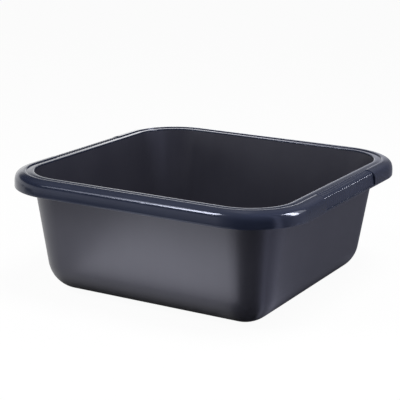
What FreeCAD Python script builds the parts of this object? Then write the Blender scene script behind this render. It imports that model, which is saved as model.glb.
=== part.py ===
import FreeCAD, Part
import math
import os
import Sketcher
from FreeCAD import Vector

# Driving dimensions in millimetres. X runs from grip to grip, -Y is the front, Z=0 is what it stands on.
DIMENSIONS = {
    # Rim, seen from above, and the overall height
    "rim_length": 380.0,
    "rim_width": 380.0,
    "rim_corner_radius": 78.0,
    "bowl_height": 148.5,
    # Rim section, from the outside inwards
    "roll_radius": 12.5,
    "land_width": 11.0,
    "land_drop": 0.6,
    "skirt_height": 19.0,
    "rim_thickness": 2.4,
    "channel_bevel": 7.0,
    "lip_bevel": 0.9,
    "skirt_edge_bevel": 0.8,
    # Tub walls, which lean outwards by the draft angle in degrees
    "wall_thickness": 2.2,
    "wall_draft": 8.9,
    "gate_diameter": 14.0,
    "gate_depth": 0.8,
    # Ring under the flat of the base, inset from its edge
    "foot_ring_height": 1.5,
    "foot_ring_width": 7.0,
    "foot_ring_inset": 2.0,
    "foot_ring_corner_radius": 18.0,
    # Grips: a window in the rim, and behind it a ribbed plate that seats on the rim's inner face
    "grip_length": 142.0,
    "grip_land_bite": 1.5,
    "grip_lower_band": 2.6,
    "grip_thickness": 2.0,
    "grip_flange": 1.8,
    "rib_count": 26,
    "rib_width": 2.2,
    "rib_height": 1.3,
    "rib_root": 0.4,
    "rib_end_gap": 0.5,
}

# Sizes that follow from the driving ones, written in terms of the sheet's cells
LIP_INSET = "(dims.roll_radius + dims.land_width)"
WALL_INSET = f"({LIP_INSET} - dims.wall_thickness)"
RIM_UNDERSIDE = "(dims.bowl_height - dims.rim_thickness)"
SKIRT_EDGE = "(dims.bowl_height - dims.skirt_height)"
WALL_RISE = f"({RIM_UNDERSIDE} - dims.foot_ring_height)"
# The corners turn about four upright axes. A ball on each axis touches the base and both leaning walls.
CORE_X = "(dims.rim_length / 2 - dims.rim_corner_radius)"
CORE_Y = "(dims.rim_width / 2 - dims.rim_corner_radius)"
LEAN = "(dims.wall_draft * 1deg)"
BALL_REACH = f"((dims.rim_corner_radius - {WALL_INSET}) * cos({LEAN}) - {WALL_RISE} * sin({LEAN}))"
BALL_RADIUS = f"({BALL_REACH} / (1 - sin({LEAN})))"
ROLL_CENTRE_X = "(dims.rim_length / 2 - dims.roll_radius)"
ROLL_CENTRE_Z = "(dims.bowl_height - dims.roll_radius)"
WINDOW_EDGE_X = f"({ROLL_CENTRE_X} - dims.grip_land_bite)"
WINDOW_SILL_Z = f"({SKIRT_EDGE} + dims.grip_lower_band)"
SKIRT_INNER_X = "(dims.rim_length / 2 - dims.rim_thickness)"
RIB_CREST_RADIUS = "(dims.roll_radius - dims.rim_thickness + dims.rib_height)"
RIB_PITCH = "((dims.grip_length - 2 * dims.rib_end_gap) / dims.rib_count)"

doc = FreeCAD.newDocument("washing_up_bowl")


def fill_sheet():
    """Put every driving dimension in a cell of its own, with its name as the alias."""
    sheet = doc.addObject("Spreadsheet::Sheet", "dims")
    for row, (name, size) in enumerate(DIMENSIONS.items(), start=1):
        sheet.set(f"A{row}", name)
        sheet.set(f"B{row}", str(size))
        sheet.setAlias(f"B{row}", name)
    doc.recompute()


def new_body(label):
    body = doc.addObject("PartDesign::Body", label)
    body.Label = label
    return body


def origin_feature(body, role):
    return next(feature for feature in body.Origin.OriginFeatures if feature.Role == role)


def new_sketch(body, name, plane, offset="0"):
    """Attach a sketch to one of the body's own planes, moved along the plane's normal."""
    sketch = body.newObject("Sketcher::SketchObject", name)
    sketch.AttachmentSupport = (origin_feature(body, plane), [""])
    sketch.MapMode = "FlatFace"
    sketch.setExpression("AttachmentOffset.Base.z", offset)
    doc.recompute()
    return sketch


def bind(sketch, name, constraint, expression):
    """Add a dimension to a sketch, named and driven by the sheet."""
    index = sketch.addConstraint(constraint)
    sketch.renameConstraint(index, name)
    sketch.setExpression(f"Constraints.{name}", expression)


def draw_rounded_rectangle(sketch, name, length, width, radius):
    """Draw four sides and four tangent corner arcs, centred on the sketch's origin."""
    half_x = sketch.evalExpression(f"{length} / 2")
    half_y = sketch.evalExpression(f"{width} / 2")
    corner = sketch.evalExpression(radius)
    core_x, core_y = half_x - corner, half_y - corner
    centres = [Vector(x * core_x, y * core_y) for x, y in ((1, -1), (1, 1), (-1, 1), (-1, -1))]
    first = sketch.GeometryCount
    for quarter, centre in enumerate(centres):
        start = (quarter - 1) * math.pi / 2
        out = Vector(math.cos(start), math.sin(start), 0) * corner
        before = centres[quarter - 1]
        sketch.addGeometry(Part.LineSegment(before + out, centre + out))
        circle = Part.Circle(centre, Vector(0, 0, 1), corner)
        sketch.addGeometry(Part.ArcOfCircle(circle, start, start + math.pi / 2))
    front, right, back, left = (first + 2 * side for side in range(4))
    for piece in range(8):
        following = first + (piece + 1) % 8
        sketch.addConstraint(Sketcher.Constraint("Tangent", first + piece, 2, following, 1))
    for side in (front, right, back, left):
        direction = "Horizontal" if side in (front, back) else "Vertical"
        sketch.addConstraint(Sketcher.Constraint(direction, side))
        if side != front:
            sketch.addConstraint(Sketcher.Constraint("Equal", front + 1, side + 1))
    sketch.addConstraint(Sketcher.Constraint("Symmetric", front, 1, back, 1, -1, 1))
    bind(sketch, f"{name}_length", Sketcher.Constraint("DistanceX", left, 1, right, 1, 2 * half_x), length)
    bind(sketch, f"{name}_width", Sketcher.Constraint("DistanceY", front, 1, back, 1, 2 * half_y), width)
    bind(sketch, f"{name}_corner", Sketcher.Constraint("Radius", front + 1, corner), radius)


def draw_rim_outline(sketch, name, inset):
    """Draw the rim's outline moved inwards all round, with its corners on the same centres."""
    length = f"(dims.rim_length - 2 * {inset})"
    width = f"(dims.rim_width - 2 * {inset})"
    draw_rounded_rectangle(sketch, name, length, width, f"(dims.rim_corner_radius - {inset})")


def edges_at(feature, height):
    """Name the edges of a feature that lie wholly at one height."""
    level = feature.evalExpression(height)
    box_of = [(f"Edge{i}", edge.BoundBox) for i, edge in enumerate(feature.Shape.Edges, start=1)]
    return [name for name, box in box_of if abs(box.ZMin - level) < 1e-4 and abs(box.ZMax - level) < 1e-4]


def edges_inside(feature, names, inset):
    """Keep the named edges that lie on or inside the rim's outline moved inwards."""
    reach_x = feature.evalExpression(f"dims.rim_length / 2 - {inset}") + 1e-4
    reach_y = feature.evalExpression(f"dims.rim_width / 2 - {inset}") + 1e-4
    kept = []
    for name in names:
        box = feature.getSubObject(name).BoundBox
        if max(-box.XMin, box.XMax) < reach_x and max(-box.YMin, box.YMax) < reach_y:
            kept.append(name)
    return kept


def sketched_feature(body, kind, name, sketch, length, symmetric=False, upwards=False):
    """Pad or pocket a sketch, to one side of it or half to each side."""
    feature = body.newObject(f"PartDesign::{kind}", name)
    feature.Profile = sketch
    feature.setExpression("Length", length)
    if symmetric:
        feature.SideType = "Symmetric"
    feature.Reversed = upwards
    doc.recompute()
    return feature


def bevel(body, name, base, edges, size):
    feature = body.newObject("PartDesign::Chamfer", name)
    feature.Base = (base, edges)
    feature.setExpression("Size", size)
    doc.recompute()
    return feature


def fillet(body, name, base, edges, radius):
    feature = body.newObject("PartDesign::Fillet", name)
    feature.Base = (base, edges)
    feature.setExpression("Radius", radius)
    doc.recompute()
    return feature


def make_tub():
    """Build a quarter of the bowl and mirror it twice, then hollow it by the same form inside the walls."""
    body = new_body("tub")
    make_quarter(body, "tub_outside", "Pad", "Revolution", "0")
    make_quarter(body, "tub_inside", "Pocket", "Groove", "dims.wall_thickness")
    gate = new_sketch(body, "tub_gate", "XY_Plane", "dims.foot_ring_height")
    gate.addGeometry(Part.Circle(Vector(0, 0, 0), Vector(0, 0, 1), DIMENSIONS["gate_diameter"] / 2))
    gate.addConstraint(Sketcher.Constraint("Coincident", 0, 3, -1, 1))
    diameter = Sketcher.Constraint("Diameter", 0, DIMENSIONS["gate_diameter"])
    bind(gate, "gate", diameter, "dims.gate_diameter")
    sketched_feature(body, "Pocket", "tub_gate_dimple", gate, "dims.gate_depth", upwards=True)
    return body


def make_quarter(body, name, straight, turned, depth):
    """Run the bowl's section along half of two sides and round one corner, and mirror the three twice."""
    pieces = []
    for plane, core, length in (("XZ_Plane", CORE_X, CORE_Y), ("YZ_Plane", CORE_Y, CORE_X)):
        section = new_sketch(body, f"{name}_{plane}_section", plane)
        draw_bowl_section(section, depth, core)
        pieces.append(sketched_feature(body, straight, f"{name}_{plane}_run", section, length))
    section = new_sketch(body, f"{name}_corner_section", "XZ_Plane", CORE_Y)
    section.setExpression("AttachmentOffset.Base.x", CORE_X)
    draw_bowl_section(section, depth)
    corner = body.newObject(f"PartDesign::{turned}", f"{name}_corner")
    corner.Profile = section
    corner.ReferenceAxis = (section, ["V_Axis"])
    corner.Angle = 90
    corner.Reversed = True
    doc.recompute()
    whole = body.newObject("PartDesign::MultiTransform", f"{name}_whole")
    whole.Originals = pieces + [corner]
    mirrors = []
    for plane in ("YZ_Plane", "XZ_Plane"):
        mirror = body.newObject("PartDesign::Mirrored", f"{name}_{plane}_mirror")
        mirror.MirrorPlane = (origin_feature(body, plane), [""])
        mirrors.append(mirror)
    whole.Transformations = mirrors
    body.Tip = whole
    doc.recompute()


def draw_bowl_section(sketch, depth, core=None):
    """Draw half of the bowl's section: the round of the base, the leaning wall, the mouth and the flat."""
    radius = f"({BALL_RADIUS} - {depth})"
    height = f"(dims.foot_ring_height + {BALL_RADIUS})"
    ball = sketch.evalExpression(radius)
    lean = math.radians(DIMENSIONS["wall_draft"])
    centre = Vector(sketch.evalExpression(core) if core else 0, sketch.evalExpression(height))
    top = sketch.evalExpression(RIM_UNDERSIDE)
    wall_foot = centre + Vector(math.cos(lean), -math.sin(lean)) * ball
    wall_top = Vector(wall_foot.x + (top - wall_foot.y) * math.tan(lean), top)
    circle = Part.Circle(centre, Vector(0, 0, 1), ball)
    base = centre - Vector(0, ball)
    sketch.addGeometry(Part.ArcOfCircle(circle, -math.pi / 2, -lean))
    sketch.addGeometry(Part.LineSegment(wall_foot, wall_top))
    sketch.addGeometry(Part.LineSegment(wall_top, Vector(0, top)))
    sketch.addGeometry(Part.LineSegment(Vector(0, top), Vector(0, base.y)))
    sketch.addConstraint(Sketcher.Constraint("Tangent", 0, 2, 1, 1))
    sketch.addConstraint(Sketcher.Constraint("Coincident", 1, 2, 2, 1))
    sketch.addConstraint(Sketcher.Constraint("Coincident", 2, 2, 3, 1))
    sketch.addConstraint(Sketcher.Constraint("Horizontal", 2))
    sketch.addConstraint(Sketcher.Constraint("Vertical", 3))
    sketch.addConstraint(Sketcher.Constraint("PointOnObject", 3, 1, -2))
    if core:
        sketch.addGeometry(Part.LineSegment(Vector(0, base.y), base))
        sketch.addConstraint(Sketcher.Constraint("Coincident", 3, 2, 4, 1))
        sketch.addConstraint(Sketcher.Constraint("Tangent", 4, 2, 0, 1))
        sketch.addConstraint(Sketcher.Constraint("Horizontal", 4))
        bind(sketch, "core", Sketcher.Constraint("DistanceX", -1, 1, 0, 3, centre.x), core)
    else:
        sketch.addConstraint(Sketcher.Constraint("Coincident", 3, 2, 0, 1))
        sketch.addConstraint(Sketcher.Constraint("PointOnObject", 0, 3, -2))
    bind(sketch, "ball_height", Sketcher.Constraint("DistanceY", -1, 1, 0, 3, centre.y), height)
    bind(sketch, "ball_radius", Sketcher.Constraint("Radius", 0, ball), radius)
    bind(sketch, "wall_lean", Sketcher.Constraint("Angle", 1, math.pi / 2 - lean), f"90deg - {LEAN}")
    bind(sketch, "mouth_height", Sketcher.Constraint("DistanceY", -1, 1, 1, 2, top), RIM_UNDERSIDE)


def make_rim():
    """Hollow a block from below, roll its outer edge, open the mouth and cut the grip windows."""
    body = new_body("rim")
    outline = new_sketch(body, "rim_outline", "XY_Plane", SKIRT_EDGE)
    draw_rim_outline(outline, "rim", "0")
    sketched_feature(body, "Pad", "rim_block", outline, "dims.skirt_height")
    hollow = new_sketch(body, "rim_hollow", "XY_Plane", SKIRT_EDGE)
    draw_rim_outline(hollow, "hollow", "dims.rim_thickness")
    depth = "dims.skirt_height - dims.rim_thickness"
    channel = sketched_feature(body, "Pocket", "rim_channel", hollow, depth, upwards=True)
    channel_edges = edges_at(channel, RIM_UNDERSIDE)
    hollowed = bevel(body, "rim_channel_bevel", channel, channel_edges, "dims.channel_bevel")
    fillet(body, "rim_roll", hollowed, edges_at(hollowed, "dims.bowl_height"), "dims.roll_radius")
    land = new_sketch(body, "rim_land", "XY_Plane", "dims.bowl_height")
    draw_rim_outline(land, "land", "dims.roll_radius")
    sketched_feature(body, "Pocket", "rim_land_step", land, "dims.land_drop")
    lip = new_sketch(body, "rim_lip", "XY_Plane", "dims.bowl_height")
    draw_rim_outline(lip, "lip", LIP_INSET)
    mouth = sketched_feature(body, "Pocket", "rim_mouth", lip, "dims.skirt_height")
    lip_edges = edges_inside(mouth, edges_at(mouth, "dims.bowl_height - dims.land_drop"), LIP_INSET)
    eased = bevel(body, "rim_lip_bevel", mouth, lip_edges, "dims.lip_bevel")
    skirt_edges = edges_at(eased, SKIRT_EDGE)
    inner_edges = edges_inside(eased, skirt_edges, "dims.rim_thickness")
    outer_edges = [edge for edge in skirt_edges if edge not in inner_edges]
    bevel(body, "rim_skirt_bevel", eased, outer_edges, "dims.skirt_edge_bevel")
    cut_grip_windows(body)
    return body


def cut_grip_windows(body):
    """Cut a window over the roll at each X end, down to a plain band along the skirt's edge."""
    window = new_sketch(body, "rim_window", "XZ_Plane")
    beyond_x = "(dims.rim_length / 2 + dims.roll_radius)"
    above_z = "(dims.bowl_height + dims.roll_radius)"
    draw_polygon(window, [(WINDOW_EDGE_X, WINDOW_SILL_Z), (beyond_x, WINDOW_SILL_Z),
                          (beyond_x, above_z), (WINDOW_EDGE_X, above_z)])
    cut = sketched_feature(body, "Pocket", "rim_right_window", window, "dims.grip_length", symmetric=True)
    both = body.newObject("PartDesign::Mirrored", "rim_both_windows")
    both.Originals = [cut]
    both.MirrorPlane = (origin_feature(body, "YZ_Plane"), [""])
    body.Tip = both
    doc.recompute()


def draw_closed(sketch, pieces):
    """Add lines and arcs that follow one another, joined end to start all round."""
    first = sketch.GeometryCount
    for piece in pieces:
        sketch.addGeometry(piece)
    count = len(pieces)
    for i in range(count):
        following = first + (i + 1) % count
        sketch.addConstraint(Sketcher.Constraint("Coincident", first + i, 2, following, 1))


def draw_polygon(sketch, corners):
    """Draw a closed outline of straight lines, with both coordinates of each corner driven by the sheet."""
    places = [Vector(sketch.evalExpression(x), sketch.evalExpression(z)) for x, z in corners]
    draw_closed(sketch, [Part.LineSegment(a, b) for a, b in zip(places, places[1:] + places[:1])])
    for i, (x, z) in enumerate(corners):
        bind(sketch, f"corner{i}_x", Sketcher.Constraint("DistanceX", -1, 1, i, 1, places[i].x), x)
        bind(sketch, f"corner{i}_z", Sketcher.Constraint("DistanceY", -1, 1, i, 1, places[i].y), z)


def make_foot_ring():
    """Pad a low ring that carries the flat of the base."""
    body = new_body("foot_ring")
    sketch = new_sketch(body, "foot_ring_outline", "XY_Plane")
    inset = "(dims.rim_corner_radius + dims.foot_ring_inset)"
    length = f"(dims.rim_length - 2 * {inset})"
    width = f"(dims.rim_width - 2 * {inset})"
    radius = "dims.foot_ring_corner_radius"
    ring = "dims.foot_ring_width"
    inner_length = f"({length} - 2 * {ring})"
    inner_width = f"({width} - 2 * {ring})"
    draw_rounded_rectangle(sketch, "outer", length, width, radius)
    draw_rounded_rectangle(sketch, "inner", inner_length, inner_width, f"({radius} - {ring})")
    sketched_feature(body, "Pad", "foot_ring_pad", sketch, "dims.foot_ring_height")
    return body


def make_grip(label, turn):
    """Fold a plate to the rim's inner face behind its window, and stand a row of cross ribs on it."""
    body = new_body(label)
    plate = new_sketch(body, f"{label}_plate_section", "XZ_Plane")
    draw_folded_plate(plate)
    plate_length = "(dims.grip_length + 2 * dims.grip_flange)"
    sketched_feature(body, "Pad", f"{label}_plate", plate, plate_length, symmetric=True)
    first_rib = f"(dims.rib_end_gap + ({RIB_PITCH} - dims.grip_length) / 2)"
    rib = new_sketch(body, f"{label}_rib_section", "XZ_Plane", f"-{first_rib}")
    draw_rib(rib)
    first = sketched_feature(body, "Pad", f"{label}_rib", rib, "dims.rib_width", symmetric=True)
    ribs = body.newObject("PartDesign::LinearPattern", f"{label}_ribs")
    ribs.Originals = [first]
    ribs.Direction = (origin_feature(body, "Y_Axis"), [""])
    body.Tip = ribs
    ribs.setExpression("Length", f"(dims.rib_count - 1) * {RIB_PITCH}")
    ribs.setExpression("Occurrences", "dims.rib_count")
    body.Placement = FreeCAD.Placement(Vector(0, 0, 0), FreeCAD.Rotation(Vector(0, 0, 1), turn))
    doc.recompute()
    return body


def folds(depth):
    """Give the upper and lower fold of the rim's inner face, moved into the channel by a depth."""
    leg = f"(dims.channel_bevel + {depth} * tan(22.5deg))"
    upper = (f"({SKIRT_INNER_X} - {leg})", f"({RIM_UNDERSIDE} - {depth})")
    lower = (f"({SKIRT_INNER_X} - {depth})", f"({RIM_UNDERSIDE} - {leg})")
    return upper, lower


def draw_folded_plate(sketch):
    """Draw a plate that lies on the rim's inner face and reaches past the window on all sides."""
    start_x = f"({WINDOW_EDGE_X} - dims.grip_flange)"
    end_z = f"({WINDOW_SILL_Z} - dims.grip_flange)"
    upper, lower = folds("0")
    upper_back, lower_back = folds("dims.grip_thickness")
    draw_polygon(sketch, [(start_x, upper[1]), upper, lower, (lower[0], end_z),
                          (lower_back[0], end_z), lower_back, upper_back, (start_x, upper_back[1])])


def draw_rib(sketch):
    """Draw a rib whose folded crest stays just inside the roll and whose foot sinks into the plate."""
    start_x = f"({WINDOW_EDGE_X} + dims.rib_end_gap)"
    end_z = f"({WINDOW_SILL_Z} + dims.rib_end_gap)"
    half_fold = f"({RIB_CREST_RADIUS} * tan(22.5deg))"
    crest_x = f"({ROLL_CENTRE_X} + {RIB_CREST_RADIUS})"
    crest_z = f"({ROLL_CENTRE_Z} + {RIB_CREST_RADIUS})"
    upper, lower = folds("dims.rib_root")
    draw_polygon(sketch, [(start_x, crest_z), (f"({ROLL_CENTRE_X} + {half_fold})", crest_z),
                          (crest_x, f"({ROLL_CENTRE_Z} + {half_fold})"), (crest_x, end_z),
                          (lower[0], end_z), lower, upper, (start_x, upper[1])])


def main():
    os.makedirs("parts", exist_ok=True)
    fill_sheet()
    grips = [make_grip("right_grip", 0), make_grip("left_grip", 180)]
    bodies = [make_tub(), make_rim(), *grips, make_foot_ring()]
    doc.recompute()
    for item in doc.Objects:
        if "Invalid" in item.State or "Error" in item.State:
            raise RuntimeError(f"{item.Label} did not build: {item.State}")
    for body in bodies:
        if body.Shape.isNull() or not body.Shape.isValid():
            raise RuntimeError(f"{body.Label} is not a valid solid")
        body.Shape.exportStep(f"parts/{body.Label}.step")
        print(body.Label, len(body.Shape.Solids), round(body.Shape.Volume), body.Shape.BoundBox)


main()
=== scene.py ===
import bmesh
import bpy
import math
import numpy as np
from mathutils import Matrix, Vector


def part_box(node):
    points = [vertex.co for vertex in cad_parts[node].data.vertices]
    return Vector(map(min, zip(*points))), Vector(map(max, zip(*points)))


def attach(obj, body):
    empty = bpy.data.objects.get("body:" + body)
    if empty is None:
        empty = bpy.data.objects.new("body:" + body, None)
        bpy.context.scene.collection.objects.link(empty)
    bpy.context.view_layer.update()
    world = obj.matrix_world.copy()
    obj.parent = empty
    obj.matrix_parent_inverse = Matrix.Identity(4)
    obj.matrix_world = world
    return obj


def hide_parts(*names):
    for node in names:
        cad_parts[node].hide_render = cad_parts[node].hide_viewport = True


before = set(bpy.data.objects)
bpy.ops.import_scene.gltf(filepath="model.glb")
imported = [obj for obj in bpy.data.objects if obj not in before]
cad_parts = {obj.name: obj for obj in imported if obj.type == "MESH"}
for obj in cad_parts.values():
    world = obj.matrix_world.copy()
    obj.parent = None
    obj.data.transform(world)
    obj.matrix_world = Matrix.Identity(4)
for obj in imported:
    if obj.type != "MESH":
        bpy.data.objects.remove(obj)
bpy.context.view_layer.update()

# X runs from grip to grip, -Y is the front, and Z=0 is the worktop. Sizes are in metres.
# In each group the CAD model's sizes come first, then what follows from them, then the skin's finer forms.
MM = 0.001
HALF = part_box("rim")[1][0]
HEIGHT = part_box("rim")[1][2]
CORNER = 78 * MM
CORE = HALF - CORNER

# Rim
ROLL = 12.5 * MM
LAND = 11 * MM
LAND_DROP = 0.6 * MM
SKIRT = 19 * MM
RIM_THICKNESS = 2.4 * MM
LIP_ROUND = 0.9 * MM
LIP_RHO = CORNER - ROLL - LAND
ROLL_RHO = CORNER - ROLL
ROLL_Z = HEIGHT - ROLL
UNDERSIDE_Z = HEIGHT - RIM_THICKNESS
SKIRT_Z = HEIGHT - SKIRT
SKIRT_BACK_RHO = CORNER - RIM_THICKNESS
LIP_FOOT = 0.02 * MM
LAND_FALL = 0.6 * MM
LAND_FLAT_SHARE = 0.3
STEP_GAP = 0.1 * MM
STEP_ROUND = 0.45 * MM
SHOULDER = 2.4 * MM
ROLL_SLOPE = math.radians(14)
ROLL_LEAD = 7.5 * MM
ROLL_TAIL = 11.4 * MM
ROLL_DROP = 14.5 * MM
UNDERSIDE_START = 0.3 * MM
UNDERSIDE_STEP = 0.1 * MM
SKIRT_LINE = 0.22 * MM
SKIRT_ROUND = 1.1 * MM
SKIRT_BACK_STEP = 0.18 * MM

# Tub and foot
WALL = 2.2 * MM
DRAFT = math.radians(8.9)
GATE_RADIUS = 7 * MM
GATE_DEPTH = 0.8 * MM
FOOT = 1.5 * MM
FOOT_HALF = 110 * MM
FOOT_CORNER = 18 * MM
FOOT_WIDTH = 7 * MM
GATE_BLEND = 0.6 * MM
FOOT_ROUND = 0.4 * MM

# Grips
GRIP_HALF = 71 * MM
GRIP_BITE = 1.5 * MM
GRIP_BAND = 2.6 * MM
GRIP_THICKNESS = 2 * MM
GRIP_FLANGE = 1.8 * MM
RIB_COUNT = 26
WINDOW_RHO = ROLL_RHO - GRIP_BITE
SILL_Z = SKIRT_Z + GRIP_BAND
GRIP_START_DROP = 0.25 * MM
GRIP_BEND_OUT = 8.2 * MM
GRIP_BEND_DROP = 2.1 * MM
GRIP_END_INSET = 1.55 * MM
GRIP_ROUND = 4.2 * MM
GRIP_SEAT_GAP = 0.05 * MM
GRIP_END_GAP = 0.02 * MM
RIB_DEPTH = 0.65 * MM
SAMPLES_PER_RIB = 16

# Meshes
MERGE_DISTANCE = 0.001 * MM
SHARP_ANGLE = math.radians(40)


# Surfaces

def core_path(core, corner_steps, side_stops):
    """The closed path that every section of the bowl is carried along.

    It runs round a square of half side core. Each sample has a place on that square and an outward
    direction, so a point at distance rho lies at place + rho times direction. On a side the place moves
    and the direction stays, at a corner the place stays and the direction turns through a right angle.
    side_stops gives where along the side the samples lie, for the sides at +X and -X, and then for those
    at +Y and -Y.
    """
    sweep = np.linspace(0, math.pi / 2, corner_steps + 1)[1:-1]
    at_corner = np.full((len(sweep), 2), core)
    turning = np.column_stack([np.cos(sweep), np.sin(sweep)])
    places = []
    directions = []
    for side in range(4):
        angle = side * math.pi / 2
        turn = np.array([[math.cos(angle), -math.sin(angle)], [math.sin(angle), math.cos(angle)]])
        stops = np.asarray(side_stops[side % 2])
        on_side = np.column_stack([np.full(len(stops), core), stops])
        straight_out = np.tile([1.0, 0.0], (len(stops), 1))
        places.append(np.concatenate([on_side, at_corner]) @ turn.T)
        directions.append(np.concatenate([straight_out, turning]) @ turn.T)
    return np.concatenate(places), np.concatenate(directions)


def carry(path, share, rho, z):
    """Carry a section along a path: row v is share[v] times the place plus rho[v] times the direction."""
    place, direction = path
    flat = share[:, None, None] * place[None] + rho[:, None, None] * direction[None]
    level = np.broadcast_to(z[:, None, None], flat.shape[:2] + (1,))
    return np.concatenate([flat, level], axis=2)


def arc(centre, radius, start, end, steps):
    """Points of a circular arc from start to end, in degrees, as columns of rho and z."""
    angle = np.radians(np.linspace(start, end, steps))
    return np.column_stack([centre[0] + radius * np.cos(angle), centre[1] + radius * np.sin(angle)])


def ring_quads(rows, columns, close_rows):
    """Indices of the quads of a grid whose columns close on themselves, and whose rows do too if asked."""
    down = np.arange(rows if close_rows else rows - 1)[:, None] * columns
    below = (down + columns) % (rows * columns)
    across = np.arange(columns)[None]
    after = (across + 1) % columns
    return np.stack([down + across, down + after, below + after, below + across], axis=2)


def make_piece(name, points, faces, edge=None):
    """Make a mesh at the origin, facing outwards, with soft shading and a mask of its rubbed edges."""
    mesh = bpy.data.meshes.new(name)
    mesh.from_pydata(points.reshape(-1, 3).tolist(), [], faces)
    if edge is not None:
        mask = mesh.attributes.new("edge", "FLOAT", "POINT")
        mask.data.foreach_set("value", np.ascontiguousarray(edge, dtype=np.float32).ravel())
    work = bmesh.new()
    work.from_mesh(mesh)
    bmesh.ops.remove_doubles(work, verts=work.verts, dist=MERGE_DISTANCE)
    bmesh.ops.recalc_face_normals(work, faces=work.faces)
    work.to_mesh(mesh)
    work.free()
    mesh.shade_smooth()
    mesh.set_sharp_from_angle(angle=SHARP_ANGLE)
    piece = bpy.data.objects.new(name, mesh)
    bpy.context.scene.collection.objects.link(piece)
    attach(piece, "root")
    return piece


def tub_section():
    """The wall's section as columns of rho and z: up the inside, over the top edge and down the outside.

    A ball on each corner's axis makes the round between floor and wall, and the leaning wall touches it.
    """
    wall_steps = 14
    round_steps = 22
    lean = math.degrees(DRAFT)
    outer_top = np.array([LIP_RHO + WALL, UNDERSIDE_Z])
    inner_top = outer_top - np.array([WALL / math.cos(DRAFT), 0])
    reach = outer_top[0] * math.cos(DRAFT) - (UNDERSIDE_Z - FOOT) * math.sin(DRAFT)
    ball = reach / (1 - math.sin(DRAFT))
    centre = np.array([0.0, FOOT + ball])
    inner_arc = arc(centre, ball - WALL, -90, -lean, round_steps)
    outer_arc = arc(centre, ball, -lean, -90, round_steps)
    rise = np.linspace(0, 1, wall_steps)[1:, None]
    inner_wall = inner_arc[-1] + rise * (inner_top - inner_arc[-1])
    outer_wall = outer_top + rise[:-1] * (outer_arc[0] - outer_top)
    return np.concatenate([inner_arc, inner_wall, [outer_top], outer_wall, outer_arc])


def press_gate_mark(base):
    """Press the round gate mark into the base, by a smooth step of the distance from the middle."""
    radius = np.hypot(base[..., 0], base[..., 1])
    share = np.clip((GATE_RADIUS + GATE_BLEND / 2 - radius) / GATE_BLEND, 0, 1)
    base[..., 2] += GATE_DEPTH * share * share * (3 - 2 * share)


def make_tub():
    """The walls and floor as one closed skin.

    It starts at the middle of the floor, runs out over it, follows the wall's section, and runs back under
    the base to the middle. The flat parts are the path drawn in towards the middle, with rings close
    together at the gate mark's edge, and each flat closes at one point.
    """
    near_gate = [0.015, 0.03, 0.045, 0.055, 0.0625, 0.07, 0.08, 0.1]
    flat = np.concatenate([near_gate, np.linspace(0.15, 0.95, 12)])
    section = tub_section()
    on_axis = np.zeros(len(flat))
    share = np.concatenate([flat, np.ones(len(section)), flat[::-1]])
    rho = np.concatenate([on_axis, section[:, 0], on_axis])
    z = np.concatenate([on_axis + FOOT + WALL, section[:, 1], on_axis + FOOT])
    stops = np.linspace(-CORE, CORE, 25)
    path = core_path(CORE, corner_steps=24, side_stops=(stops, stops))
    points = carry(path, share, rho, z)
    press_gate_mark(points[-len(flat):])
    rows, columns = points.shape[:2]
    faces = ring_quads(rows, columns, False).reshape(-1, 4).tolist()
    around = np.arange(columns)
    after = (around + 1) % columns
    last = (rows - 1) * columns
    floor_pole = np.full(columns, rows * columns)
    base_pole = floor_pole + 1
    faces += np.column_stack([floor_pole, after, around]).tolist()
    faces += np.column_stack([base_pole, last + around, last + after]).tolist()
    poles = np.array([[0, 0, FOOT + WALL], [0, 0, FOOT + GATE_DEPTH]])
    return make_piece("tub_skin", np.concatenate([points.reshape(-1, 3), poles]), faces)


def roll_curve(start, steps):
    """The roll's outer line as a cubic curve, from a gentle slope at the shoulder to the upright skirt."""
    end = np.array([CORNER, HEIGHT - ROLL_DROP])
    first = start + ROLL_LEAD * np.array([math.cos(ROLL_SLOPE), -math.sin(ROLL_SLOPE)])
    second = end + np.array([0, ROLL_TAIL])
    t = np.linspace(0, 1, steps)[:, None]
    return (1 - t) ** 3 * start + 3 * (1 - t) ** 2 * t * first + 3 * (1 - t) * t ** 2 * second + t ** 3 * end


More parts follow.
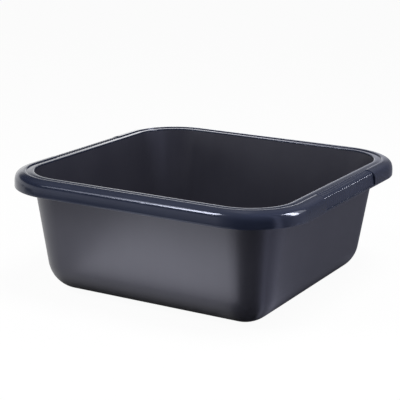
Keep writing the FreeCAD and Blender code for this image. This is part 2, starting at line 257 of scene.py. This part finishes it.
def rim_stations():
    """The rim's section as stations from the lip to the skirt's edge: outer rho and z, inner rho and z, rub.

    The outer line rounds the lip, falls a little across the land, steps up to the shoulder, follows the
    roll, and goes down the skirt to a fine line above its edge. The inner line is the rim's underside at
    its thickness. Rub says how much use wears that place. The rows of the grip window's upper and lower
    edge come with the stations.
    """
    round_steps = 7
    land_steps = 13
    roll_steps = 31
    land_z = HEIGHT - LAND_DROP
    fine_line = ((0, 2.0 * MM), (SKIRT_LINE, 1.6 * MM), (SKIRT_LINE, 1.5 * MM), (0, 1.15 * MM))
    stations = []

    def add(outer, inner, rub=0.0):
        stations.append((*outer, *inner, rub))

    underside = LIP_RHO + UNDERSIDE_START
    add((LIP_RHO, UNDERSIDE_Z + LIP_FOOT), (underside, UNDERSIDE_Z), rub=0.3)
    land_start = LIP_RHO + LIP_ROUND
    for outer in arc((land_start, land_z - LIP_ROUND), LIP_ROUND, 180, 90, round_steps):
        underside += UNDERSIDE_STEP
        add(outer, (underside, UNDERSIDE_Z), rub=1.0)
    for share in np.linspace(0, 1, land_steps)[1:]:
        rho = land_start + share * (WINDOW_RHO - land_start)
        fallen = max(0.0, (share - LAND_FLAT_SHARE) / (1 - LAND_FLAT_SHARE))
        add((rho, land_z - LAND_FALL * fallen), (rho, UNDERSIDE_Z))
    land_row = len(stations) - 1

    rise = WINDOW_RHO + STEP_GAP
    step = arc((rise + STEP_ROUND, HEIGHT - STEP_ROUND), STEP_ROUND, 180, 90, round_steps)
    for k, outer in enumerate(step):
        add(outer, (rise + k * UNDERSIDE_STEP, UNDERSIDE_Z), rub=0.8)
    roll = roll_curve(step[-1] + np.array([SHOULDER, 0]), roll_steps)
    under = arc((ROLL_RHO, ROLL_Z), ROLL - RIM_THICKNESS, 90, 0, len(roll))
    add(roll[0], under[0], rub=0.5)
    for outer, inner in zip(roll[1:], under[1:]):
        add(outer, inner)
    for z in np.linspace(roll[-1, 1], SILL_Z, 3)[1:]:
        add((CORNER, z), (SKIRT_BACK_RHO, z))
    sill_row = len(stations) - 1

    for inset, height in fine_line:
        z = SKIRT_Z + height
        add((CORNER - inset, z), (SKIRT_BACK_RHO, z), rub=0.2)
    edge = arc((CORNER - SKIRT_ROUND, SKIRT_Z + SKIRT_ROUND), SKIRT_ROUND, 0, -90, round_steps)
    for k, outer in enumerate(edge):
        add(outer, (SKIRT_BACK_RHO, SKIRT_Z + SKIRT_ROUND - k * SKIRT_BACK_STEP), rub=1.0)
    return np.array(stations), land_row, sill_row


def make_rim():
    """The rolled rim as one closed skin: its section's outer line and its inner line carried round together.

    Over each grip the quads of both lines between the land's bite and the sill are left out, and the
    window's four sides join the outer line to the inner one.
    """
    stations, land_row, sill_row = rim_stations()
    count = len(stations)
    beside_grip = np.linspace(GRIP_HALF, CORE, 8)
    along_grip = np.linspace(-GRIP_HALF, GRIP_HALF, 21)[1:-1]
    grip_side_stops = np.concatenate([-beside_grip[::-1], along_grip, beside_grip])
    plain_side_stops = np.linspace(-CORE, CORE, 35)
    path = core_path(CORE, corner_steps=48, side_stops=(grip_side_stops, plain_side_stops))
    rho = np.concatenate([stations[:, 0], stations[::-1, 2]])
    z = np.concatenate([stations[:, 1], stations[::-1, 3]])
    points = carry(path, np.ones(len(rho)), rho, z)
    columns = points.shape[1]
    rub = np.repeat(np.concatenate([stations[:, 4], np.zeros(count)]), columns)

    place, direction = path
    middle = (place + np.roll(place, -1, axis=0)) / 2
    on_grip_side = np.isclose(np.abs(direction[:, 0]), 1)
    over_grip = on_grip_side & (np.abs(middle[:, 1]) < GRIP_HALF)
    outer = np.arange(count)
    inner = 2 * count - 1 - outer
    row = np.arange(2 * count)
    in_outer = (row >= land_row) & (row < sill_row)
    in_inner = (row >= inner[sill_row]) & (row < inner[land_row])
    in_window = in_outer | in_inner
    faces = ring_quads(2 * count, columns, True)[~(in_window[:, None] & over_grip[None])].tolist()

    starts = np.flatnonzero(over_grip & ~np.roll(over_grip, 1))
    ends = (np.flatnonzero(over_grip & ~np.roll(over_grip, -1)) + 1) % columns
    k = np.arange(land_row, sill_row)
    for column in np.concatenate([starts, ends]):
        corners = np.column_stack([outer[k], outer[k + 1], inner[k + 1], inner[k]])
        faces += (corners * columns + column).tolist()
    across = np.flatnonzero(over_grip)
    after = (across + 1) % columns
    for k in (land_row, sill_row):
        outer_start = outer[k] * columns
        inner_start = inner[k] * columns
        faces += np.column_stack([outer_start + across, outer_start + after,
                                  inner_start + after, inner_start + across]).tolist()
    return make_piece("rim_skin", points, faces, rub)


def unit(vector):
    return vector / np.linalg.norm(vector)


def rounded_bend(start, bend, end, radius, steps):
    """A line from start to end with a circular arc of that radius at the bend, as points of rho and z."""
    back = unit(start - bend)
    onward = unit(end - bend)
    half = math.acos(float(back @ onward)) / 2
    middle = bend + unit(back + onward) * radius / math.sin(half)
    first = bend + back * radius / math.tan(half)
    last = bend + onward * radius / math.tan(half)
    angles = [math.atan2(point[1] - middle[1], point[0] - middle[0]) for point in (first, last)]
    angle = np.linspace(*angles, steps)
    turn = middle + radius * np.column_stack([np.cos(angle), np.sin(angle)])
    before = start + np.linspace(0, 1, steps // 2)[:-1, None] * (turn[0] - start)
    after = turn[-1] + np.linspace(0, 1, steps // 2)[1:, None] * (end - turn[-1])
    return np.concatenate([before, turn, after])


def grip_line():
    """The grip's section: its points of rho and z, their outward directions, and one where it is ribbed.

    The line of the rib crests leaves the land almost level with the roll, bends, and goes steeply down to
    the sill. A flange before it and one after it reach behind the rim.
    """
    start = np.array([WINDOW_RHO + STEP_GAP, HEIGHT - GRIP_START_DROP])
    bend = np.array([ROLL_RHO + GRIP_BEND_OUT, HEIGHT - GRIP_BEND_DROP])
    end = np.array([CORNER - GRIP_END_INSET, SILL_Z + GRIP_SEAT_GAP])
    crest = rounded_bend(start, bend, end, radius=GRIP_ROUND, steps=16)
    along = np.gradient(crest, axis=0)
    crest_out = np.column_stack([-along[:, 1], along[:, 0]]) / np.linalg.norm(along, axis=1)[:, None]
    upper_flange = [[WINDOW_RHO - GRIP_FLANGE, UNDERSIDE_Z], [WINDOW_RHO + GRIP_SEAT_GAP, UNDERSIDE_Z]]
    lower_flange = [[SKIRT_BACK_RHO, SILL_Z + GRIP_SEAT_GAP], [SKIRT_BACK_RHO, SILL_Z - GRIP_FLANGE]]
    line = np.concatenate([upper_flange, crest, lower_flange])
    out = np.concatenate([[[0, 1], [0, 1]], crest_out, [[1, 0], [1, 0]]])
    ribbed = np.concatenate([[0, 0], np.ones(len(crest)), [0, 0]])
    return line, out, ribbed


def rim_underside(line):
    """The place on the rim's underside that each point of a line seats on: below the land, roll or skirt."""
    roll_centre = np.array([ROLL_RHO, ROLL_Z])
    from_roll = line - roll_centre
    scale = (ROLL - RIM_THICKNESS) / np.linalg.norm(from_roll, axis=1)
    on_roll = from_roll * scale[:, None] + roll_centre
    on_land = np.column_stack([line[:, 0], np.full(len(line), UNDERSIDE_Z)])
    on_skirt = np.column_stack([np.full(len(line), SKIRT_BACK_RHO), line[:, 1]])
    below_land = line[:, :1] < ROLL_RHO
    behind_skirt = line[:, 1:] < ROLL_Z
    return np.where(below_land, on_land, np.where(behind_skirt, on_skirt, on_roll))


def make_grip(name, side):
    """A ribbed plate in a window of the rim.

    At each place along the grip the face lies behind the line of the crests by a depth that grows with the
    square of the distance from the nearest crest. At both ends the plate goes back to the rim's underside
    and reaches behind the rim.
    """
    line, out, ribbed = grip_line()
    seat = rim_underside(line)
    row = np.linspace(-GRIP_HALF, GRIP_HALF, RIB_COUNT * SAMPLES_PER_RIB + 1)
    pitch = 2 * GRIP_HALF / RIB_COUNT
    from_crest = 2 * np.mod((row - row[0]) / pitch + 0.5, 1) - 1
    ends = GRIP_HALF + np.array([GRIP_END_GAP, GRIP_FLANGE])
    y = np.concatenate([-ends[::-1], row, ends])
    depth = (RIB_DEPTH * from_crest ** 2)[:, None] * ribbed[None]
    face = line[None] - depth[..., None] * out[None]
    face = np.concatenate([[seat, seat], face, [seat, seat]])
    back = np.broadcast_to(seat - GRIP_THICKNESS * out, face.shape)
    loop = np.concatenate([face, back[:, ::-1]], axis=1)
    x = (CORE + loop[..., 0]) * side
    points = np.stack([x, np.broadcast_to(y[:, None] * side, x.shape), loop[..., 1]], axis=2)

    rows, columns = points.shape[:2]
    faces = ring_quads(rows, columns, False).reshape(-1, 4).tolist()
    k = np.arange(len(line) - 1)
    end_cap = np.column_stack([k, k + 1, columns - 2 - k, columns - 1 - k])
    for first in (0, (rows - 1) * columns):
        faces += (first + end_cap).tolist()
    crown = np.concatenate([[0, 0], 1 - from_crest ** 2, [0, 0]])
    rub = np.concatenate([crown[:, None] * ribbed[None], np.zeros((rows, len(line)))], axis=1)
    return make_piece(name, points, faces, rub)


def make_foot():
    """The low ring under the base: a section with rounded lower corners, carried round a smaller square."""
    core = FOOT_HALF - FOOT_CORNER
    outer = FOOT_CORNER
    inner = FOOT_CORNER - FOOT_WIDTH
    inner_round = arc((inner + FOOT_ROUND, FOOT_ROUND), FOOT_ROUND, 180, 270, steps=4)
    outer_round = arc((outer - FOOT_ROUND, FOOT_ROUND), FOOT_ROUND, 270, 360, steps=4)
    section = np.concatenate([[[inner, FOOT]], inner_round, outer_round, [[outer, FOOT]]])
    stops = np.linspace(-core, core, 9)
    path = core_path(core, corner_steps=12, side_stops=(stops, stops))
    points = carry(path, np.ones(len(section)), section[:, 0], section[:, 1])
    faces = ring_quads(*points.shape[:2], True).reshape(-1, 4).tolist()
    return make_piece("foot_skin", points, faces)


# Finishes

WALL_COLOURS = {"Light": (0.032, 0.032, 0.043), "Dark": (0.026, 0.026, 0.036), "Rubbed": (0.06, 0.06, 0.07)}
RIM_COLOURS = {"Light": (0.018, 0.023, 0.044), "Dark": (0.0145, 0.0185, 0.037), "Rubbed": (0.04, 0.045, 0.06)}
WALL_LOOK = {"colours": WALL_COLOURS, "specular": 0.5, "tint": (0.84, 0.85, 1.0),
             "wear": 0.0, "spread": 0.08, "grain": 1.0, "bump": 0.1}
RIM_LOOK = {"colours": RIM_COLOURS, "specular": 0.32, "tint": (0.78, 0.82, 1.0)}
BUMP_DISTANCE = 0.3 * MM
RUB_ROUGHNESS = 0.25


def new_group(name, inputs, outputs):
    """Start a shader node group with named sockets."""
    group = bpy.data.node_groups.new(name, "ShaderNodeTree")
    for label, kind, value in inputs:
        socket = group.interface.new_socket(label, in_out="INPUT", socket_type=kind)
        socket.default_value = value
    for label, kind in outputs:
        group.interface.new_socket(label, in_out="OUTPUT", socket_type=kind)
    return group, group.nodes.new("NodeGroupInput"), group.nodes.new("NodeGroupOutput")


def add_node(tree, kind, **settings):
    node = tree.nodes.new(kind)
    for key, value in settings.items():
        setattr(node, key, value)
    return node


def math_node(tree, operation, first, second):
    node = add_node(tree, "ShaderNodeMath", operation=operation)
    for socket, value in zip(node.inputs, (first, second)):
        if isinstance(value, (int, float)):
            socket.default_value = value
        else:
            tree.links.new(value, socket)
    return node.outputs[0]


def weighted_sum(tree, first, first_weight, second, second_weight):
    first_part = math_node(tree, "MULTIPLY", first, first_weight)
    second_part = math_node(tree, "MULTIPLY", second, second_weight)
    return math_node(tree, "ADD", first_part, second_part)


def noise(tree, vector, scale, detail, roughness=0.5):
    node = add_node(tree, "ShaderNodeTexNoise", noise_dimensions="3D")
    node.inputs["Scale"].default_value = scale
    node.inputs["Detail"].default_value = detail
    node.inputs["Roughness"].default_value = roughness
    tree.links.new(vector, node.inputs["Vector"])
    return node.outputs["Fac"]


def smooth_share(tree, value, low, high):
    """Zero below low, one above high, and a smooth step between them."""
    node = add_node(tree, "ShaderNodeMapRange", interpolation_type="SMOOTHSTEP")
    tree.links.new(value, node.inputs["Value"])
    for label, number in (("From Min", low), ("From Max", high), ("To Min", 0.0), ("To Max", 1.0)):
        node.inputs[label].default_value = number
    return node.outputs["Result"]


def mix_colours(tree, factor, first, second):
    node = add_node(tree, "ShaderNodeMix", data_type="RGBA")
    for label, value in (("Factor", factor), ("A", first), ("B", second)):
        tree.links.new(value, node.inputs[label])
    return node.outputs["Result"]


def moulded_grain_group():
    """Spark-eroded mould texture: fine pits of two sizes, as a height and a roughness that follows it."""
    group, inward, outward = new_group(
        "moulded_grain",
        [("Scale", "NodeSocketFloat", 1.0), ("Roughness", "NodeSocketFloat", 0.5),
         ("Spread", "NodeSocketFloat", 0.1)],
        [("Height", "NodeSocketFloat"), ("Roughness", "NodeSocketFloat")])
    place = group.nodes.new("ShaderNodeTexCoord").outputs["Object"]
    scaled = add_node(group, "ShaderNodeVectorMath", operation="SCALE")
    group.links.new(place, scaled.inputs[0])
    group.links.new(inward.outputs["Scale"], scaled.inputs["Scale"])
    fine = noise(group, scaled.outputs[0], scale=2600, detail=2)
    coarse = noise(group, scaled.outputs[0], scale=900, detail=3)
    group.links.new(weighted_sum(group, fine, 0.6, coarse, 0.4), outward.inputs["Height"])
    swing = math_node(group, "MULTIPLY", math_node(group, "SUBTRACT", coarse, 0.5), inward.outputs["Spread"])
    roughness = math_node(group, "ADD", inward.outputs["Roughness"], swing)
    group.links.new(roughness, outward.inputs["Roughness"])
    return group


def plastic_tone_group():
    """Colour of dyed plastic: two close tones in clouds and faint upright flow lines, with rubbed edges."""
    group, inward, outward = new_group(
        "plastic_tone",
        [("Light", "NodeSocketColor", (0.1, 0.1, 0.1, 1)), ("Dark", "NodeSocketColor", (0.05, 0.05, 0.05, 1)),
         ("Rubbed", "NodeSocketColor", (0.2, 0.2, 0.2, 1)), ("Wear", "NodeSocketFloat", 0.0)],
        [("Color", "NodeSocketColor"), ("Rub", "NodeSocketFloat")])
    place = group.nodes.new("ShaderNodeTexCoord").outputs["Object"]
    clouds = noise(group, place, scale=14, detail=3)
    stretch = group.nodes.new("ShaderNodeMapping")
    stretch.inputs["Scale"].default_value = (60, 60, 5)
    group.links.new(place, stretch.inputs["Vector"])
    flow = noise(group, stretch.outputs[0], scale=1.0, detail=2)
    lightness = smooth_share(group, weighted_sum(group, clouds, 0.7, flow, 0.3), 0.3, 0.7)
    tone = mix_colours(group, lightness, inward.outputs["Dark"], inward.outputs["Light"])
    edge = add_node(group, "ShaderNodeAttribute", attribute_name="edge").outputs["Fac"]
    patches = smooth_share(group, noise(group, place, scale=55, detail=4, roughness=0.6), 0.45, 0.7)
    rub = math_node(group, "MULTIPLY", math_node(group, "MULTIPLY", edge, patches), inward.outputs["Wear"])
    group.links.new(mix_colours(group, rub, tone, inward.outputs["Rubbed"]), outward.inputs["Color"])
    group.links.new(rub, outward.inputs["Rub"])
    return group


def plastic(name, groups, colours, specular, tint, wear, roughness, spread, grain, bump):
    """A plastic finish from the shared tone and grain groups, with its own colours and gloss."""
    material = bpy.data.materials.new(name)
    material.use_nodes = True
    tree = material.node_tree
    shader = tree.nodes["Principled BSDF"]
    texture = add_node(tree, "ShaderNodeGroup", node_tree=groups["grain"])
    tone = add_node(tree, "ShaderNodeGroup", node_tree=groups["tone"])
    for label, value in (("Scale", grain), ("Roughness", roughness), ("Spread", spread)):
        texture.inputs[label].default_value = value
    for label, colour in colours.items():
        tone.inputs[label].default_value = (*colour, 1)
    tone.inputs["Wear"].default_value = wear
    relief = tree.nodes.new("ShaderNodeBump")
    relief.inputs["Strength"].default_value = bump
    relief.inputs["Distance"].default_value = BUMP_DISTANCE
    shader.inputs["Specular IOR Level"].default_value = specular
    shader.inputs["Specular Tint"].default_value = (*tint, 1)
    tree.links.new(tone.outputs["Color"], shader.inputs["Base Color"])
    rubbed = math_node(tree, "MULTIPLY", tone.outputs["Rub"], RUB_ROUGHNESS)
    dulled = math_node(tree, "ADD", texture.outputs["Roughness"], rubbed)
    tree.links.new(dulled, shader.inputs["Roughness"])
    tree.links.new(texture.outputs["Height"], relief.inputs["Height"])
    tree.links.new(relief.outputs["Normal"], shader.inputs["Normal"])
    return material


def make_finishes():
    """The four finishes by the record's slots: matte walls and foot, a glossy rim and satin grips."""
    groups = {"grain": moulded_grain_group(), "tone": plastic_tone_group()}
    looks = {
        "tub_matte": {"roughness": 0.37, **WALL_LOOK},
        "rim_gloss": {"roughness": 0.14, **RIM_LOOK,
                      "wear": 0.35, "spread": 0.05, "grain": 0.6, "bump": 0.04},
        "grip_satin": {"roughness": 0.17, **RIM_LOOK,
                       "wear": 0.3, "spread": 0.06, "grain": 0.8, "bump": 0.06},
        "foot_matte": {"roughness": 0.5, **WALL_LOOK},
    }
    return {slot: plastic(slot, groups, **look) for slot, look in looks.items()}


# Pieces

def dress(piece, node, slot, finishes):
    """Stand a piece in for its CAD node and give it that node's finish."""
    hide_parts(node)
    piece.data.materials.append(finishes[slot])


finishes = make_finishes()
rim_skin = make_rim()
grip_skins = [make_grip("right_grip_skin", 1), make_grip("left_grip_skin", -1)]
dress(make_tub(), "tub", "tub_matte", finishes)
dress(rim_skin, "rim", "rim_gloss", finishes)
for grip_skin, node in zip(grip_skins, ("right_grip", "left_grip")):
    dress(grip_skin, node, "grip_satin", finishes)
dress(make_foot(), "foot_ring", "foot_matte", finishes)


# Studio

FLOOR_REACH = 6.0
FLOOR_LEVEL = -0.1 * MM
FLOOR_BOUNCE = (0.35, 0.35, 0.35, 1)
FLOOR_SEEN = (0.9, 0.9, 0.9, 1)
FLOOR_GLOW = 0.95
WORLD_SOFT = 0.25
WORLD_SEEN = 1.0

# Painted reflections and highlights: brightness of the glowing room that only the bowl's gloss shows, by
# bearing in degrees from the near corner
FAN_START = -112
FRONT_END = -70
LEFT_START = 150
SIDE_TONE = {-112: 1.1, -100: 0.5, -80: 0.12, -60: 0.06, -24: 0.06, -20: 0.6, -13: 1.7, -4: 0.55,
             20: 0.95, 36: 0.85, 52: 0.45, 66: 0.29, 130: 0.29, 150: 1.1}
BACK_SHARE = {-112: 1, -106: 0, 98: 0, 112: 0.9, 116: 1.8, 126: 1.8, 130.5: 1, 248: 1}
COOL_SHARE = {-100: 0, -60: 1, 80: 1, 130: 0}
COOL_SHIFT = np.array([-0.08, -0.06, 0.16])

# The same by distance out from the core's square, by place before the front, and by height, in metres.
# Near the foot and under the bowl the floor is painted shadow, and the strip before the front is painted
# shade that the top of the front wall reflects.
LEFT_FOOT_SHADOW_TONE = {0.022: 0.06, 0.028: 0.15, 0.037: 0.45, 0.049: 0.85, 0.075: 1.0}
RIGHT_FOOT_SHADOW_TONE = {0.022: 0.1, 0.05: 1.0}
FRONT_STRIP_SHADE_TONE = {-0.65: 1.0, -0.55: 0.12, -0.38: 0.12, -0.34: 1.0}
UNDER_REACH = 0.02
UNDER_SHADOW_TONE = 0.05
SIDE_WALL_TONE = {0: 0.02, 0.7: 0.2, 1.5: 0.4, 2.6: 0.5, 4.0: 0.6}
BACK_WALL_TONE = {0: 1.4, 0.7: 1.4, 0.85: 0.7, 1.0: 0.08, 1.5: 0.04, 2.6: 0.25, 4.0: 0.6}
ROOM_FLOOR = 1 * MM
ROOM_REACH = 2.6
ROOM_TOP = 4.0


def white_when_seen(tree):
    """One for a ray from the camera, off a glossy surface or through a clear one, and zero for soft light."""
    path = tree.nodes.new("ShaderNodeLightPath")
    first = math_node(tree, "MAXIMUM", path.outputs["Is Camera Ray"], path.outputs["Is Glossy Ray"])
    return math_node(tree, "MAXIMUM", first, path.outputs["Is Transmission Ray"])


def mix_shaders(tree, factor, first, second):
    node = tree.nodes.new("ShaderNodeMixShader")
    for socket, value in zip(node.inputs, (factor, first, second)):
        tree.links.new(value, socket)
    return node.outputs[0]


def empty_material(name):
    """A material with only an output, and its node tree and the output's surface socket."""
    material = bpy.data.materials.new(name)
    material.use_nodes = True
    tree = material.node_tree
    tree.nodes.clear()
    return material, tree, tree.nodes.new("ShaderNodeOutputMaterial").inputs["Surface"]


def floor_white():
    """White where it is seen, grey for soft light, and clear from below, so that the base shows."""
    material, tree, surface = empty_material("floor_white")
    pale = add_node(tree, "ShaderNodeMix", data_type="RGBA")
    pale.inputs["A"].default_value = FLOOR_BOUNCE
    pale.inputs["B"].default_value = FLOOR_SEEN
    path = tree.nodes.new("ShaderNodeLightPath")
    tree.links.new(path.outputs["Is Camera Ray"], pale.inputs["Factor"])
    matte = tree.nodes.new("ShaderNodeBsdfDiffuse")
    tree.links.new(pale.outputs["Result"], matte.inputs["Color"])
    glow = tree.nodes.new("ShaderNodeEmission")
    share = math_node(tree, "MULTIPLY", white_when_seen(tree), FLOOR_GLOW)
    from_above = mix_shaders(tree, share, matte.outputs[0], glow.outputs[0])
    clear = tree.nodes.new("ShaderNodeBsdfTransparent")
    below = tree.nodes.new("ShaderNodeNewGeometry").outputs["Backfacing"]
    tree.links.new(mix_shaders(tree, below, from_above, clear.outputs[0]), surface)
    return material


def make_floor():
    """A pale floor that looks white and keeps a faint shadow."""
    mesh = bpy.data.meshes.new("floor")
    signs = ((-1, -1), (1, -1), (1, 1), (-1, 1))
    corners = [(x * FLOOR_REACH, y * FLOOR_REACH, FLOOR_LEVEL) for x, y in signs]
    mesh.from_pydata(corners, [], [(0, 1, 2, 3)])
    mesh.materials.append(floor_white())
    floor = bpy.data.objects.new("floor", mesh)
    bpy.context.scene.collection.objects.link(floor)


def make_world():
    """A white surround, dimmer for the soft light that it throws on the bowl."""
    world = bpy.data.worlds.new("studio")
    bpy.context.scene.world = world
    world.use_nodes = True
    tree = world.node_tree
    back = tree.nodes["Background"]
    back.inputs["Color"].default_value = (1, 1, 1, 1)
    strength = add_node(tree, "ShaderNodeMix", data_type="FLOAT")
    tree.links.new(white_when_seen(tree), strength.inputs["Factor"])
    strength.inputs["A"].default_value = WORLD_SOFT
    strength.inputs["B"].default_value = WORLD_SEEN
    tree.links.new(strength.outputs["Result"], back.inputs["Strength"])


def make_shade(name, points, quads, tone):
    """A glowing stage surface of painted reflections that only the bowl's gloss shows, as bright at each
    point as its tone.
    """
    mesh = bpy.data.meshes.new(name)
    mesh.from_pydata(points.reshape(-1, 3).tolist(), [], quads.reshape(-1, 4).tolist())
    stored = mesh.attributes.new("tone", "FLOAT_COLOR", "POINT")
    opaque = np.concatenate([tone, np.ones(tone.shape[:2] + (1,))], axis=2)
    stored.data.foreach_set("color", np.ascontiguousarray(opaque, dtype=np.float32).ravel())
    material, tree, surface = empty_material(name)
    shade = add_node(tree, "ShaderNodeAttribute", attribute_name="tone")
    glow = tree.nodes.new("ShaderNodeEmission")
    tree.links.new(shade.outputs["Color"], glow.inputs["Color"])
    tree.links.new(glow.outputs[0], surface)
    mesh.materials.append(material)
    piece = bpy.data.objects.new(name, mesh)
    bpy.context.scene.collection.objects.link(piece)
    piece.visible_camera = False
    piece.visible_diffuse = False
    piece.visible_shadow = False


def between_stops(value, stops):
    """The tone at each value, on straight lines between stops given as value: tone."""
    return np.interp(value, list(stops), list(stops.values()))


def room_floor_tone(x, y, bearing, side):
    """The room's floor: its side's tone, darker near the foot and under the bowl as painted shadow, and along
    a strip before the front as painted shade.
    """
    rho = np.hypot(np.maximum(np.abs(x) - CORE, 0), np.maximum(np.abs(y) - CORE, 0))
    front_left = (bearing > LEFT_START) | (bearing < FRONT_END)
    left = between_stops(rho, LEFT_FOOT_SHADOW_TONE) * between_stops(y, FRONT_STRIP_SHADE_TONE)
    right = between_stops(rho, RIGHT_FOOT_SHADOW_TONE)
    return np.where(rho < UNDER_REACH, UNDER_SHADOW_TONE, side * np.where(front_left, left, right))


def room_wall_tone(level, bearing, side):
    """The room's wall and ceiling as painted reflections: dim in front and to the right, white behind up to
    what the land shows.
    """
    behind = between_stops(bearing, BACK_SHARE)
    ahead = np.maximum(side, between_stops(level, SIDE_WALL_TONE))
    return ahead * np.maximum(1 - behind, 0) + between_stops(level, BACK_WALL_TONE) * behind


def make_painted_reflection_room():
    """Painted reflections of the studio as the bowl's gloss shows it: a glowing floor, wall and ceiling
    fanned out from the near corner.

    Each ring of the fan has a reach and a level, and its points lie at the corner's axis plus the reach
    times the cosine and sine of the bearing. The tone follows the bearing, and the front is a little cool.
    """
    bearing = np.linspace(FAN_START, FAN_START + 360, 181)[None]
    floor_reach = np.concatenate([[1 * MM], np.linspace(0.02, 0.6, 30), [1.0, ROOM_REACH]])
    wall_level = np.array([0.15, 0.36, 0.7, 0.85, 1.0, 1.5, 2.6, ROOM_TOP])
    reach = np.concatenate([floor_reach, np.full(len(wall_level), ROOM_REACH), [1.2, 0.02]])[:, None]
    level = np.concatenate([np.full(len(floor_reach), ROOM_FLOOR), wall_level, [ROOM_TOP, ROOM_TOP]])[:, None]
    x = CORE + reach * np.cos(np.radians(bearing))
    y = -CORE + reach * np.sin(np.radians(bearing))
    points = np.stack([x, y, np.broadcast_to(level, x.shape)], axis=2)
    side = between_stops(bearing, SIDE_TONE)
    on_floor = level <= ROOM_FLOOR
    floor = room_floor_tone(x, y, bearing, side)
    tone = np.where(on_floor, floor, room_wall_tone(level, bearing, side))
    tint = 1 + between_stops(bearing, COOL_SHARE)[..., None] * COOL_SHIFT
    make_shade("painted_reflection_room", points, ring_quads(*x.shape, False)[:, :-1], tone[..., None] * tint)


def make_lamp(name, target, azimuth, elevation, distance, size, power, shown_in=None, gloss=True):
    """An area lamp that faces a point from a direction given in degrees.

    With pieces to be shown in, it is a highlight in their gloss alone. Without gloss, it is soft light alone.
    """
    lamp = bpy.data.lights.new(name, "AREA")
    lamp.shape = "RECTANGLE"
    lamp.size, lamp.size_y = size
    lamp.energy = power
    holder = bpy.data.objects.new(name, lamp)
    bpy.context.scene.collection.objects.link(holder)
    turn = math.radians(azimuth)
    climb = math.radians(elevation)
    away = Vector((math.cos(turn) * math.cos(climb), math.sin(turn) * math.cos(climb), math.sin(climb)))
    holder.location = Vector(target) + away * distance
    holder.rotation_euler = away.to_track_quat("Z", "Y").to_euler()
    holder.visible_camera = False
    holder.visible_glossy = gloss
    if shown_in:
        holder.visible_diffuse = False
        mirrors = bpy.data.collections.new(name)
        for piece in shown_in:
            mirrors.objects.link(piece)
        holder.light_linking.receiver_collection = mirrors


def make_lamps():
    """Soft lamps for walls and inside, a board that lights the front, and highlights on the rim and grips."""
    bowl = (0, 0, 0.1)
    front_rim = (0.03, -0.188, 0.142)
    front_rim_middle = (0.0, -0.188, 0.142)
    right_rim = (0.183, -0.14, 0.141)
    right_grip = (0.186, 0, 0.145)
    above_board = (0.002, -0.255, 0.51)
    make_lamp("front_left_soft", bowl, -122, 44, 1.8, size=(0.8, 0.6), power=13, gloss=False)
    make_lamp("right_soft", right_rim, 29, 30, 1.5, size=(0.5, 0.5), power=5, gloss=False)
    make_lamp("top_soft", bowl, -20, 72, 1.6, size=(0.7, 0.7), power=18, gloss=False)
    make_lamp("floor_board", above_board, -90, -90, 0.5, size=(0.25, 0.135), power=0.23)
    make_lamp("front_left_strip", front_rim, -124.5, 46, 1.5, size=(0.24, 0.62), power=20,
              shown_in=[rim_skin])
    make_lamp("front_left_edge", front_rim_middle, -135.5, 46, 1.5, size=(0.34, 0.62), power=4.6,
              shown_in=[rim_skin])
    make_lamp("right_strip", right_rim, 25, 31, 1.3, size=(0.32, 0.8), power=34, shown_in=[rim_skin])
    make_lamp("right_tail", right_rim, 45, 30, 1.3, size=(0.4, 0.6), power=2.6, shown_in=[rim_skin])
    make_lamp("grip_lamp", right_grip, 30, 19, 1.3, size=(0.25, 0.18), power=9, shown_in=grip_skins)


def make_camera():
    """The photograph's view: the camera's place, roll and lens, from the outline of the rim and walls."""
    azimuth = math.radians(29.43)
    elevation = math.radians(14.76)
    tilt = math.radians(0.77)
    distance = 1.58775
    aside = -9.41 * MM
    above = 28.97 * MM
    aim = Vector((0, 0, 71.5 * MM))
    focal_pixels = 1284.41
    picture_pixels = 400
    sensor = 36
    level = Vector((math.cos(azimuth), math.sin(azimuth), 0))
    ground_back = Vector((math.sin(azimuth), -math.cos(azimuth), 0))
    back = ground_back * math.cos(elevation) + Vector((0, 0, math.sin(elevation)))
    upright = back.cross(level)
    right = level * math.cos(tilt) + upright * math.sin(tilt)
    up = upright * math.cos(tilt) - level * math.sin(tilt)
    eye = aim + right * aside + up * above + back * distance
    lens = bpy.data.cameras.new("camera")
    lens.sensor_width = sensor
    lens.lens = focal_pixels / picture_pixels * sensor
    lens.clip_start = 0.1
    lens.clip_end = 20
    camera = bpy.data.objects.new("camera", lens)
    bpy.context.scene.collection.objects.link(camera)
    axes = Matrix((right, up, back)).transposed().to_4x4()
    camera.matrix_world = Matrix.Translation(eye) @ axes
    bpy.context.scene.camera = camera


make_floor()
make_world()
# Painted reflections, highlights and shadow that only the bowl's gloss shows
make_painted_reflection_room()
make_lamps()
make_camera()
bpy.context.scene.view_settings.view_transform = "Standard"
